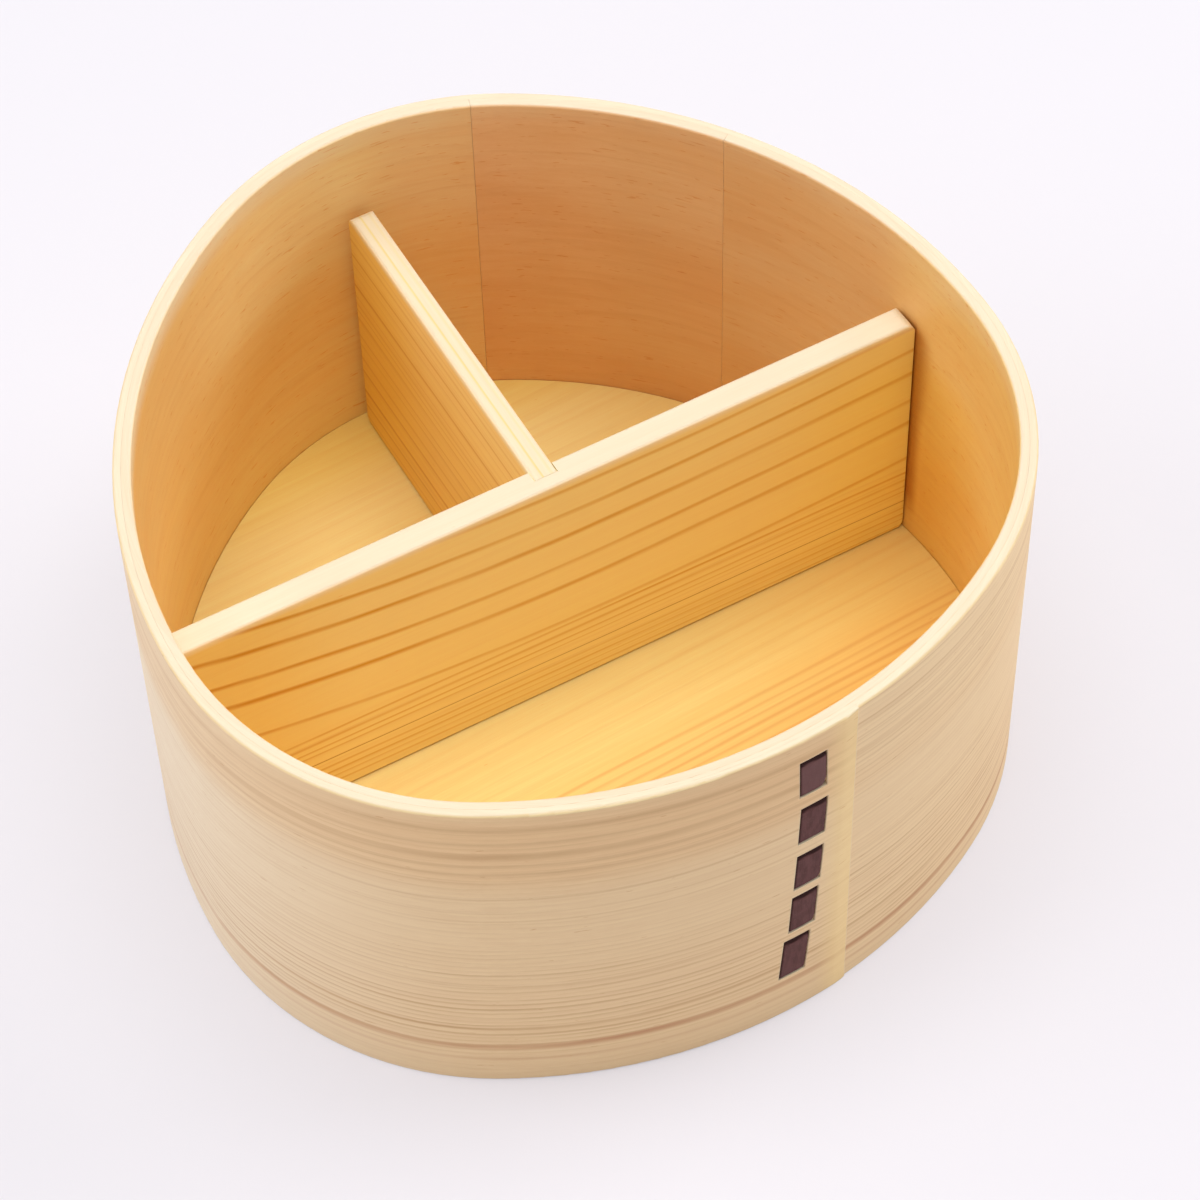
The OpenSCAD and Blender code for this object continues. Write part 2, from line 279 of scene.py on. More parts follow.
def new_finish(name, **constants):
    """A material with one Principled shader; its constants are set on the shader's own sockets."""
    material = bpy.data.materials.new(name)
    material.use_nodes = True
    tree = material.node_tree
    shader = tree.nodes["Principled BSDF"]
    for key, value in constants.items():
        shader.inputs[key.replace("_", " ")].default_value = value
    return material, tree, shader


def upward(tree, low=0.55, high=0.92):
    """How far a face looks straight up: 1 on a rim or a board's upper edge."""
    normal = add(tree, "SeparateXYZ", {0: add(tree, "NewGeometry").outputs["Normal"]}).outputs["Z"]
    return spread(tree, normal, low, high)


def finish_wood(
    tree, shader, colour, place, edge_colour, dark, streaks=0.16, flecks=0.5, rough=0.55, relief=0.00003, ease=0.0001
):
    """The fibre, flecks, eased edges, gloss and relief that all the woods share."""
    fleck_amount = rescaled(tree, upward(tree), -flecks, flecks)
    fibre = use(tree, WOOD_FIBRE, Place=place, Fleck_Amount=fleck_amount)
    eased = use(tree, EASED_EDGE, Radius=ease)
    tone = spread(tree, fibre["Streak"], 0.25, 0.75)
    colour = mix(tree, rescaled(tree, tone, -streaks, streaks), colour, dark, "MULTIPLY")
    fine = spread(tree, fibre["Fibre"], 0.3, 0.7)
    colour = mix(tree, rescaled(tree, fine, -0.6 * streaks, 0.6 * streaks), colour, dark, "MULTIPLY")
    colour = mix(tree, times(tree, fibre["Fleck"], 0.5), colour, dark, "MULTIPLY")
    colour = mix(tree, times(tree, eased["Edge"], 0.5), colour, edge_colour)
    tree.links.new(colour, shader.inputs["Base Color"])
    gloss = rescaled(tree, fibre["Streak"], 0.16, rough - 0.08)
    tree.links.new(rescaled(tree, eased["Edge"], -0.05, gloss), shader.inputs["Roughness"])
    height = rescaled(tree, fibre["Streak"], 0.6, times(tree, fibre["Fibre"], 0.6))
    height = rescaled(tree, fibre["Fleck"], -0.5, height)
    bump = add(tree, "Bump", {"Strength": 0.8, "Distance": relief, "Height": height, "Normal": eased["Normal"]})
    tree.links.new(bump.outputs["Normal"], shader.inputs["Normal"])


def drift_curve(tree, turn, points):
    """How the grain wanders up and down along a strip: (turn from 0 to 1, millimetres from 0 to DRIFT_MAX)."""
    node = add(tree, "FloatCurve", {"Value": turn})
    curve = node.mapping.curves[0]
    while len(curve.points) < len(points):
        curve.points.new(0.5, 0.5)
    for point, (place, height) in zip(curve.points, points):
        point.location = (place, height / DRIFT_MAX)
    node.mapping.update()
    return calc(tree, "MULTIPLY", node.outputs["Value"], DRIFT_MAX)


def outer_band_wood():
    """Pale straight-grained wood: fine rings, tan latewood lines, a reddish ring near the base and a sanded lap, with a
    painted sheen that pales it at the far left.
    """
    material, tree, shader = new_finish("outer_band_wood", IOR=WOOD_IOR)
    strip = use(tree, STRIP_PLACE, End_Turn=LAP_TURN)
    turn = strip["Turn"]
    drift = drift_curve(tree, turn, [
        (0.0, 8.5), (0.026, 7.8), (0.054, 7.3), (0.082, 7.0), (0.14, 7.0), (0.22, 7.6), (0.35, 8.6), (0.47, 8.2),
        (0.6, 7.6), (0.69, 7.7), (0.735, 8.3), (0.762, 9.0), (0.79, 9.8), (0.83, 10.3), (0.9, 10.0), (0.957, 9.7),
        (1.0, 9.0),
    ])
    across = calc(tree, "ADD", calc(tree, "SUBTRACT", strip["Height"], drift), DRIFT_LEVEL)
    place = joined(tree, strip["Along"], across, strip["Depth"])
    across = wandered(tree, across, noise(tree, place, 0.03, 0.25, 3.0), 0.4)
    share = calc(tree, "DIVIDE", across, BOX_H)
    base = zones(tree, share, [
        (0.0, srgb(240, 210, 164)), (0.13, srgb(243, 212, 165)), (0.3, srgb(244, 213, 167)),
        (0.45, srgb(245, 215, 169)), (0.68, srgb(245, 215, 169)), (0.8, srgb(243, 207, 157)),
        (0.93, srgb(242, 205, 154)), (1.0, srgb(243, 209, 160)),
    ])
    # Painted sheen: paler at the far left. Paler too beside the lap on its tail's side
    painted_sheen = times(tree, spread(tree, turn, 0.88, 0.72), spread(tree, turn, 0.5, 0.62))
    base = mix(tree, times(tree, painted_sheen, spread(tree, share, 0.7, 0.84, 0.95, 0.5)), base, srgb(248, 231, 203))
    tail_side = spread(tree, turn, 0.16, 0.08)
    base = mix(tree, times(tree, tail_side, spread(tree, share, 0.7, 0.84, 0.35, 0.9)), base, srgb(248, 220, 174))
    close = rings(tree, across, place, 1.2, 0.3, 2.6, uneven=0.8)
    where = zones(tree, share, [
        (0.08, 0.15), (0.16, 0.75), (0.44, 0.65), (0.52, 0.25), (0.7, 0.25), (0.78, 0.45), (1.0, 0.4),
    ])
    close = times(tree, close, where, rescaled(tree, tail_side, 0.25, 1.0))
    colour = mix(tree, calc(tree, "MULTIPLY", close, 1.4, clamp=True), base, srgb(200, 158, 104))
    tan = latewood(tree, across, [
        (70.3, 1.5, 0.6), (66.6, 1.1, 0.4), (63.4, 1.7, 0.7), (60.9, 0.7, 0.5), (58.6, 0.8, 0.65), (56.2, 0.5, 0.4),
        (51.8, 0.5, 0.35), (48.1, 0.4, 0.3), (45.9, 0.4, 0.25), (30.6, 0.4, 0.2), (27.4, 0.5, 0.35),
        (25.8, 0.5, 0.35), (22.2, 0.5, 0.45), (20.8, 0.5, 0.45), (15.1, 0.7, 0.95), (13.4, 0.5, 0.6),
    ])
    tail = latewood(tree, across, [
        (71.0, 0.5, 0.5), (67.4, 0.5, 0.5), (62.1, 0.5, 0.5), (55.3, 0.5, 0.4), (35.9, 0.4, 0.35), (34.0, 0.4, 0.5),
        (28.8, 0.4, 0.5), (24.5, 0.5, 0.6), (22.4, 0.5, 0.7), (15.7, 0.6, 0.7),
    ])
    tan = times(tree, tan, rescaled(tree, tail_side, -0.6, 1.0))
    tan = calc(tree, "MAXIMUM", tan, times(tree, tail, tail_side))
    # The painted sheen also weakens the lines at the far left
    tan = times(tree, tan, rescaled(tree, painted_sheen, -0.6, 1.0))
    red = latewood(tree, across, [(9.7, 1.5, 0.95), (6.1, 0.8, 0.4)])
    red = times(tree, red, rescaled(tree, painted_sheen, -0.5, 1.0))
    patch = spread(tree, noise(tree, place, 0.02, 0.3, 3.0), 0.3, 0.65, 0.45, 1.0)
    colour = mix(tree, times(tree, tan, patch), colour, srgb(208, 165, 114))
    colour = mix(tree, times(tree, red, patch), colour, srgb(204, 151, 106))
    sanded = spread(tree, turn, 0.985, 0.997, 0.0, 0.75)
    colour = mix(tree, sanded, colour, srgb(253, 223, 160))
    colour = mix(tree, upward(tree, 0.15, 0.6), colour, srgb(240, 216, 166))
    colour = mix(tree, upward(tree, 0.7, 0.98), colour, srgb(234, 219, 191))
    finish_wood(
        tree, shader, colour, place, srgb(246, 228, 196), srgb(212, 172, 126),
        streaks=0.14, flecks=0.4, rough=0.62, relief=0.00004, ease=0.0004,
    )
    return material


def painted_corner_shade(tree, colour, turn, height):
    """Painted shade on the wall round the long divider's right end, deepest in the corner while the board stands there,
    where ambient occlusion finds the board close.
    """
    # Painted shade: a deeper, less blue tone on the wall round the board's end, below its top
    painted_shade_beside = times(
        tree, spread(tree, turn, 0.845, 0.89), spread(tree, turn, 0.935, 0.9), spread(tree, height, 55.0, 45.0)
    )
    colour = tint(tree, painted_shade_beside, colour, 1.0, 0.96, 0.7)
    # Painted shade: darkest in the corner at the board's end, where ambient occlusion finds the board close; it goes
    # when the board is lifted
    reach = spread(tree, height, 30.0, 46.0, 0.8945, 0.8895)
    open_share = add(tree, "AmbientOcclusion", {"Distance": CORNER_REACH * MM}, samples=8).outputs["AO"]
    painted_shade_close_by = times(
        tree, spread(tree, turn, reach, 0.9005), spread(tree, turn, 0.913, 0.909), spread(tree, height, 60.0, 54.0),
        spread(tree, open_share, 0.92, 0.62), spread(tree, height, 6.0, 16.0),
    )
    return tint(tree, painted_shade_close_by, colour, 0.6, 0.38, 0.16)


def inner_ply_wood(name, colours, end_turn, tone_and_shade):
    """Warm bent wood with faint wide rings, deeper or paler along its length, partly by its own tone and partly by
    painted shade and a painted pinkish cast of reflected light, paler just under the rim, and with painted shade round
    the long divider's right end.
    """
    material, tree, shader = new_finish(name, IOR=WOOD_IOR, Coat_Weight=0.12, Coat_Roughness=0.38)
    pale, deep, late, dark = colours
    strip = use(tree, STRIP_PLACE, End_Turn=end_turn)
    turn, height = strip["Turn"], strip["Height"]
    place = joined(tree, strip["Along"], height, strip["Depth"])
    across = wandered(tree, height, noise(tree, place, 0.02, 0.05, 3.0), 14.0)
    colour = mix(tree, spread(tree, noise(tree, place, 0.015, 0.045, 3.0), 0.35, 0.65), pale, deep)
    colour = mix(tree, times(tree, rings(tree, across, place, 4.2, 1.0, 3.2), 0.3), colour, late)
    # Along the strip: the wood's own tone, with painted shade and a painted pinkish cast of reflected light
    colour = mix(tree, 1.0, colour, zones(tree, turn, tone_and_shade), "MULTIPLY")
    colour = tint(tree, spread(tree, height, 62.0, 30.0), colour, 1.0, 0.98, 0.9)
    # Darker over the upper part of the left wall
    darker_upper_left = times(tree, spread(tree, height, 30.0, 48.0), spread(tree, turn, 0.2, 0.27), spread(tree, turn, 0.46, 0.4))
    colour = tint(tree, darker_upper_left, colour, 0.92, 0.84, 0.77)
    colour = painted_corner_shade(tree, colour, turn, height)
    # Paler just under the rim over part of the wall
    paler_under_rim = zones(tree, turn, [
        (0.1, 0.1), (0.13, 0.35), (0.18, 0.6), (0.26, 0.95), (0.42, 0.95), (0.5, 0.2), (0.62, 0.2), (0.85, 0.3),
        (0.93, 0.1),
    ])
    colour = mix(tree, times(tree, paler_under_rim, spread(tree, height, 68.0, 73.5)), colour, srgb(253, 238, 202))
    colour = mix(tree, upward(tree), colour, srgb(232, 217, 190))
    finish_wood(tree, shader, colour, place, srgb(248, 226, 182), dark, flecks=0.9, rough=0.5, ease=0.00012)
    return material


def board_place(tree, along, across, through):
    """Object coordinates in millimetres as along, across and through the grain."""
    xyz = add(tree, "SeparateXYZ", {0: object_mm(tree)}).outputs
    return xyz[along], xyz[across], xyz[through]


def bottom_board_wood():
    """A flat board whose grain runs from side to side, with close latewood lines towards the front and painted shade
    towards its right and its back.
    """
    material, tree, shader = new_finish("bottom_board_wood", IOR=WOOD_IOR, Coat_Weight=0.15, Coat_Roughness=0.34)
    x, y, z = board_place(tree, "X", "Y", "Z")
    across = rescaled(tree, z, 0.4, rescaled(tree, x, -0.045, y))
    place = joined(tree, x, across, z)
    across = wandered(tree, across, noise(tree, place, 0.02, 0.15, 2.0), 1.6)
    base = zones(tree, rescaled(tree, across, 1 / BOX_W, 0.5), [
        (0.0, srgb(250, 214, 124)), (0.3, srgb(250, 217, 130)), (0.375, srgb(251, 226, 142)),
        (0.42, srgb(252, 234, 155)), (0.6, srgb(254, 240, 168)), (0.85, srgb(253, 235, 158)),
        (1.0, srgb(253, 232, 152)),
    ])
    lines = latewood(tree, across, [
        (-17.4, 0.7, 0.6), (-19.2, 0.6, 0.5), (-20.8, 0.6, 0.6), (-22.4, 0.7, 0.75), (-24.0, 0.6, 0.6),
        (-25.7, 0.6, 0.7), (-27.3, 0.6, 0.6), (-29.1, 0.7, 0.7), (-31.0, 0.6, 0.6), (-33.2, 0.6, 0.6),
        (-4.0, 0.7, 0.18), (-9.5, 0.6, 0.12),
    ])
    colour = mix(tree, times(tree, rings(tree, across, place, 2.3, 1.0, 2.6), 0.22), base, srgb(226, 168, 92))
    colour = mix(tree, times(tree, lines, 0.65), colour, srgb(226, 160, 72))
    # Painted shade: deeper towards the right, where the right wall shades the floor
    colour = tint(tree, spread(tree, x, 12.0, 58.0), colour, 0.89, 0.78, 0.62)
    # Painted shade: deeper and less blue towards the back wall
    colour = tint(tree, spread(tree, y, 48.0, 62.0), colour, 1.0, 0.99, 0.76)
    finish_wood(
        tree, shader, colour, place, srgb(244, 200, 118), srgb(240, 184, 104), flecks=0.45, rough=0.46,
    )
    return material


def divider_edges(tree, colour, z, border, edge_grain):
    """A divider's painted shade along its foot, the pale border under its sanded upper edge, and the upper edge itself.
    """
    # Painted shade: a dark line along the foot, where the board meets the floor
    foot = spread(tree, z, FLOOR_T + 0.7, FLOOR_T + 0.2, 0.0, 0.7)
    colour = mix(tree, foot, colour, srgb(124, 72, 26))
    sanded = spread(tree, z, DIVIDER_TOP - 1.9, DIVIDER_TOP - 0.3, 0.0, 0.9)
    colour = mix(tree, sanded, colour, border)
    return mix(tree, upward(tree), colour, edge_grain)


def long_divider_wood():
    """Board figure: bold latewood lines that curve across the upper part, and close straight ones below, with painted
    shade towards both ends and painted light on the ends of its upper edge.
    """
    material, tree, shader = new_finish("long_divider_wood", IOR=WOOD_IOR, Coat_Weight=0.12, Coat_Roughness=0.36)
    x, z, y = board_place(tree, "X", "Z", "Y")
    place = joined(tree, x, z, y)
    back = calc(tree, "SUBTRACT", y, LONG_FACE_Y)
    wander = calc(tree, "SUBTRACT", noise(tree, place, 0.025, 0.1, 3.0), 0.5)
    off = calc(tree, "SUBTRACT", x, 12.0)
    left = calc(tree, "POWER", calc(tree, "MINIMUM", off, 0.0), 2.0)
    right = calc(tree, "POWER", calc(tree, "MAXIMUM", off, 0.0), 2.0)
    curve = rescaled(tree, left, 0.0017, times(tree, right, 0.00065))
    high = rescaled(tree, back, 0.55, rescaled(tree, wander, 1.1, calc(tree, "SUBTRACT", z, curve)))
    low = rescaled(tree, back, 0.25, rescaled(tree, wander, 0.5, rescaled(tree, x, 0.018, z)))
    upper = latewood(tree, high, [
        (55.2, 0.9, 0.8), (49.4, 1.0, 0.9), (43.7, 1.15, 1.0), (36.6, 1.0, 0.85), (31.0, 1.15, 1.0), (21.6, 0.9, 0.75),
    ])
    lower = latewood(tree, low, [
        (20.6, 0.55, 0.95), (18.7, 0.7, 0.65), (17.0, 0.45, 0.7), (15.6, 0.4, 0.6), (13.0, 0.22, 1.0),
        (11.0, 0.55, 0.65), (9.4, 0.5, 0.7), (8.0, 0.4, 0.55), (6.5, 0.5, 0.65),
    ])
    above = spread(tree, z, 20.0, 21.4)
    below = calc(tree, "SUBTRACT", 1.0, spread(tree, z, 20.9, 22.0))
    lines = calc(tree, "MAXIMUM", times(tree, upper, above), times(tree, lower, below))
    base = zones(tree, calc(tree, "DIVIDE", z, ZONE_H), [
        (0.08, srgb(254, 231, 154)), (0.3, srgb(254, 233, 158)), (0.45, srgb(254, 236, 165)),
        (1.0, srgb(254, 234, 162)),
    ])
    fine = times(tree, rings(tree, low, place, 1.5, 0.8, 2.4), rescaled(tree, below, 0.3, 0.06))
    colour = mix(tree, fine, base, srgb(206, 142, 62))
    patch = spread(tree, noise(tree, place, 0.022, 0.4, 3.0), 0.3, 0.65, 0.55, 1.0)
    bold = rescaled(tree, patch, 0.85, spread(tree, x, -15.0, -45.0, 0.0, 0.3))
    colour = mix(tree, calc(tree, "MULTIPLY", lines, bold, clamp=True), colour, srgb(218, 162, 32))
    thin = latewood(tree, low, [(13.0, 0.2, 0.55)])
    colour = mix(tree, times(tree, thin, below), colour, srgb(120, 72, 28))
    # Painted shade: deeper towards the left end, near the wall
    colour = tint(tree, spread(tree, x, -33.0, -56.0), colour, 0.94, 0.87, 0.67)
    # Painted shade: deeper and less blue towards the right end, most of all low down
    painted_shade_right_end = times(tree, spread(tree, x, 35.0, 62.0), spread(tree, z, 55.0, 45.0, 0.3, 1.0))
    colour = tint(tree, painted_shade_right_end, colour, 1.0, 0.99, 0.75)
    # Painted light: the upper edge paler towards both ends, against the walls' shade there
    painted_light_ends = spread(tree, calc(tree, "ABSOLUTE", x), 36.0, 60.0)
    edge_grain = mix(tree, painted_light_ends, srgb(231, 217, 189), srgb(244, 234, 206))
    colour = divider_edges(tree, colour, z, srgb(255, 246, 218), edge_grain)
    finish_wood(
        tree, shader, colour, place, srgb(250, 230, 182), srgb(238, 178, 96), streaks=0.09, flecks=0.1, rough=0.48,
    )
    return material


def short_divider_wood():
    """Straight, slightly tilted latewood lines, and a ring that shows along the middle of the upper edge, with painted
    shade towards the far end.
    """
    material, tree, shader = new_finish("short_divider_wood", IOR=WOOD_IOR, Coat_Weight=0.12, Coat_Roughness=0.36)
    y, z, x = board_place(tree, "Y", "Z", "X")
    tilted = rescaled(tree, calc(tree, "SUBTRACT", y, 62.0), 0.029, z)
    side = calc(tree, "SUBTRACT", x, SHORT_FACE_X)
    place = joined(tree, y, tilted, x)
    across = rescaled(tree, side, -0.5, wandered(tree, tilted, noise(tree, place, 0.03, 0.15, 3.0), 1.0))
    lines = latewood(tree, across, [
        (52.3, 0.6, 0.35), (48.6, 0.7, 0.65), (46.2, 0.5, 0.3), (41.0, 0.7, 0.8), (38.0, 0.5, 0.3), (36.2, 0.6, 0.4),
        (34.5, 0.5, 0.35), (32.4, 0.6, 0.45), (28.0, 0.6, 0.3), (25.8, 0.5, 0.3), (22.0, 0.7, 0.4), (18.5, 0.8, 0.6),
        (13.2, 0.8, 0.9), (9.5, 0.8, 0.55), (6.4, 0.6, 0.4),
    ])
    base = zones(tree, calc(tree, "DIVIDE", z, ZONE_H), [
        (0.08, srgb(252, 212, 112)), (0.5, srgb(252, 216, 128)), (1.0, srgb(252, 220, 144)),
    ])
    colour = mix(tree, times(tree, rings(tree, across, place, 1.7, 0.9, 2.2), 0.35), base, srgb(200, 134, 56))
    colour = mix(tree, times(tree, lines, 0.8), colour, srgb(212, 144, 40))
    # Painted shade: deeper and less blue towards the far end by the back wall
    colour = tint(tree, spread(tree, y, 36.0, 58.0), colour, 1.0, 0.97, 0.66)
    middle = latewood(tree, x, [(-0.35, 0.4, 0.9), (1.2, 0.5, 0.4)])
    edge_grain = mix(tree, middle, srgb(231, 217, 186), srgb(229, 208, 136))
    colour = divider_edges(tree, colour, z, srgb(255, 242, 208), edge_grain)
    finish_wood(
        tree, shader, colour, place, srgb(250, 230, 182), srgb(236, 170, 84), streaks=0.1, flecks=0.15, rough=0.48,
    )
    return material


def bark_skin():
    """Dark mottled bark, scratched along the strip, with painted shade where the strip dips into the wall and along
    each stitch's foot and sides.
    """
    material, tree, shader = new_finish("bark_skin", IOR=1.45, Specular_IOR_Level=0.1)
    x, z, y = board_place(tree, "X", "Z", "Y")
    place = joined(tree, x, z, y)
    mottle = noise(tree, place, 0.9, 0.35, 4.0, 0.6, through=0.9)
    colour = mix(tree, spread(tree, mottle, 0.3, 0.7), srgb(88, 53, 50), srgb(106, 68, 66))
    scratch = noise(tree, place, 7.0, 0.5, 3.0, 0.6, through=7.0)
    colour = mix(tree, spread(tree, scratch, 0.52, 0.72, 0.0, 0.35), colour, srgb(122, 84, 80))
    pore = spread(tree, noise(tree, place, 1.4, 5.0, 2.0, through=1.4), 0.64, 0.7)
    colour = mix(tree, times(tree, pore, 0.4), colour, srgb(124, 84, 74))
    colour = mix(tree, spread(tree, z, 56.0, 62.0, 0.0, 0.5), colour, srgb(122, 86, 84))
    stitch_shade = add(tree, "Attribute", attribute_name="stitch_shade").outputs["Fac"]
    # Painted shade: near black where the strip dips under the wall's edge and along each stitch's foot and sides
    colour = mix(tree, stitch_shade, colour, srgb(46, 15, 10))
    tree.links.new(colour, shader.inputs["Base Color"])
    tree.links.new(rescaled(tree, mottle, 0.2, 0.45), shader.inputs["Roughness"])
    height = rescaled(tree, scratch, 0.6, times(tree, pore, 0.5))
    bump = add(tree, "Bump", {"Strength": 0.7, "Distance": 0.00004, "Height": height})
    tree.links.new(bump.outputs["Normal"], shader.inputs["Normal"])
    return material


# The lacing as part.scad lays it: the wall's arc at the lap, the strip and its five stitches, in mm
LAP_CENTRE = Vector((1.032, 19.4634, 0.0))
LAP_R = 89.7386
LACING_X = 5.1
BARK_W, BARK_T = 4.7, 0.45
STITCH_SINK, STITCH_DIP, STITCH_RAMP = 0.1, 0.25, 1.6
BARK_BACK, BARK_TUCK = -1.8383, 2.6
STITCH_TOPS = (68.6, 56.3, 43.8, 32.8, 21.2)
STITCH_HS = (9.1, 9.3, 9.0, 9.6, 10.4)
STITCH_SHIFTS = (0.0, 0.25, -0.2, -0.85, -2.2)
STITCH_LEANS = (-1.3, 2.0, 2.8, 2.9, 4.3)
# Worn lower right corner of each stitch: how far in and how far up
STITCH_CLIPS = ((0.75, 2.0), (0.2, 0.8), (0.5, 1.2), (0.45, 1.5), (0.25, 0.9))
# How tightly the strip turns, how far apart the loops of its mesh are, and what it keeps clear of the solid's faces
TURN_R, LOOP_STEP = 0.3, 0.35
EDGE_CLEAR, FACE_CLEAR = 0.03, 0.005
# How far past its ends a stitch still counts as shown
STITCH_MARGIN = 0.3
# Where the worn corner begins and over what it grows, in shares of the strip's half width
CLIP_FROM, CLIP_OVER = 0.7, 0.2
# How far a stitch's face is crowned and rippled
CROWN, RIPPLE = 0.05, 0.012
# How much painted shade a stitch has at its foot and along its two sides
FOOT_SHADE, LEFT_SHADE, RIGHT_SHADE = 0.75, 0.75, 0.45


def held(value):
    """A value kept between 0 and 1."""
    return max(0.0, min(1.0, value))


def lacing_route():
    """The strip's middle line seen from the side, as (depth, height): in and out of the wall five times."""
    inside = BARK_BACK - BARK_T / 2
    outside = -STITCH_SINK - BARK_T / 2
    route = [(inside, STITCH_TOPS[0] + BARK_TUCK)]
    for top, height in zip(STITCH_TOPS, STITCH_HS):
        high, low = top - BARK_T / 2, top - height + BARK_T / 2
        route += [
            (inside, high), (outside - STITCH_DIP, high), (outside, top - STITCH_RAMP), (outside, low), (inside, low),
        ]
    route.append((inside, STITCH_TOPS[-1] - STITCH_HS[-1] - BARK_TUCK))
    return [Vector(point) for point in route]


def rounded_route(route, radius, step):
    """The same route with its corners rounded and points no further apart than step."""
    points = [route[0]]
    for before, corner, after in zip(route, route[1:], route[2:]):
        back, ahead = (before - corner).normalized(), (after - corner).normalized()
        half = math.acos(max(-1.0, min(1.0, back.dot(ahead)))) / 2
        trim = min(radius / math.tan(half), (before - corner).length * 0.45, (after - corner).length * 0.45)
        for k in range(7):
            t = k / 6
            points.append(corner + back * trim * (1 - t) ** 2 + ahead * trim * t ** 2)
    points.append(route[-1])
    close = [points[0]]
    for point in points[1:]:
        start = close[-1]
        count = max(1, math.ceil((point - start).length / step))
        close += [start.lerp(point, k / count) for k in range(1, count + 1)]
    return close


def lacing_shift(height):
    """How far along the front the strip's middle lies at a height."""
    line = []
    for top, h, shift, lean in zip(STITCH_TOPS, STITCH_HS, STITCH_SHIFTS, STITCH_LEANS):
        reach = h / 2 + BARK_T
        for end in (1, -1):
            line.append((top - h / 2 + end * reach, shift + end * reach * math.tan(math.radians(lean))))
    if height >= line[0][0]:
        return line[0][1]
    for (z0, s0), (z1, s1) in zip(line, line[1:]):
        if height >= z1:
            return s1 + (s0 - s1) * (height - z1) / (z0 - z1)
    return line[-1][1]


def bark_section():
    """The strip's section, as shares of half its width and of half its thickness."""
    corner = [(-1.0, 0.45), (-0.985, 0.8), (-0.955, 1.0)]
    outer = corner + [(u / 10, 1.0) for u in range(-8, 9, 2)] + [(-u, v) for u, v in corner[::-1]]
    return outer + [(u, -v) for u, v in outer[::-1]]


def shown_stitch(depth, height):
    """The number of the stitch that a point of the route shows on, or None behind the wall."""
    if depth > -STITCH_SINK - STITCH_DIP - BARK_T:
        for k, (top, h) in enumerate(zip(STITCH_TOPS, STITCH_HS)):
            if top - h - STITCH_MARGIN < height < top + STITCH_MARGIN:
                return k
    return None


def stitch_wear(k, u, v, height):
    """At a point of stitch k: how far its worn corner is cut in, how far it is crowned, and how much painted shade it
    has.
    """
    top, foot = STITCH_TOPS[k], STITCH_TOPS[k] - STITCH_HS[k]
    clip, rise = STITCH_CLIPS[k]
    cut = crown = 0.0
    if u > CLIP_FROM:
        cut = max(0.0, 1.0 - (height - foot) / rise) * clip * min(1.0, (u - CLIP_FROM) / CLIP_OVER)
    if v > 0:
        crown = CROWN * (1 - u * u) * held((top - height) / 2) + RIPPLE * math.sin(height * 1.7 + u * 3.1)
    ramp = STITCH_RAMP - 0.25 + 0.12 * math.sin(u * 4.0 + top)
    shade_top = held((height - (top - ramp)) / 0.25 + 0.5)
    shade_foot = FOOT_SHADE * held(1.4 - (height - foot) / 0.4)
    shade_side = LEFT_SHADE if u < -0.9 else RIGHT_SHADE if u > 0.97 else 0.0
    return cut, crown, max(shade_top, shade_foot, shade_side)


def scene_object(name, data):
    """A new object in the scene."""
    made = bpy.data.objects.new(name, data)
    bpy.context.scene.collection.objects.link(made)
    return made


def loft(shape, loops):
    """Skins a row of closed loops, caps both ends and shades it smooth."""
    count = len(loops[0])
    for one, two in zip(loops, loops[1:]):
        for k in range(count):
            shape.faces.new((one[k], one[(k + 1) % count], two[(k + 1) % count], two[k]))
    shape.faces.new(loops[0][::-1])
    shape.faces.new(loops[-1])
    bmesh.ops.recalc_face_normals(shape, faces=shape.faces)
    for face in shape.faces:
        face.smooth = True


def bark_strip(material):
    """One strip of bark, lofted along the lacing: crowned, with rough edges and worn lower corners."""
    across = LACING_X - LAP_CENTRE.x
    out = Vector((across, -math.sqrt(LAP_R ** 2 - across ** 2), 0.0)) / LAP_R
    along = Vector((-out.y, out.x, 0.0))
    origin = LAP_CENTRE + out * LAP_R
    route = rounded_route(lacing_route(), TURN_R, LOOP_STEP)
    section = bark_section()
    shape = bmesh.new()
    stitch_shade_layer = shape.verts.layers.float.new("stitch_shade")
    loops = []
    for k, point in enumerate(route):
        before, after = route[max(k - 1, 0)], route[min(k + 1, len(route) - 1)]
        ahead = (after - before).normalized()
        face = Vector((-ahead.y, ahead.x))
        depth, height = point
        stitch = shown_stitch(depth, height)
        middle = lacing_shift(height)
        loop = []
        for u, v in section:
            rough = 0.02 * math.sin(height * 2.9 + u * 2.0) + 0.015 * math.sin(height * 7.3 + u)
            side = u * (BARK_W / 2 - EDGE_CLEAR + rough * abs(u))
            lift = v * (BARK_T / 2 - FACE_CLEAR)
            # Painted shade on the stitches, kept on each point
            stitch_shade = 0.0
            if stitch is not None:
                cut, crown, stitch_shade = stitch_wear(stitch, u, v, height)
                side -= cut
                lift += crown
            flat = point + face * lift
            place = origin + out * flat.x + along * (middle + side)
            vert = shape.verts.new(place * MM + Vector((0.0, 0.0, flat.y * MM)))
            vert[stitch_shade_layer] = stitch_shade
            loop.append(vert)
        loops.append(loop)
    loft(shape, loops)
    mesh = bpy.data.meshes.new("bark_strip")
    shape.to_mesh(mesh)
    shape.free()
    mesh.materials.append(material)
    strip = scene_object("bark_strip", mesh)
    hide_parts("bark_lacing")
    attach(strip, "box")


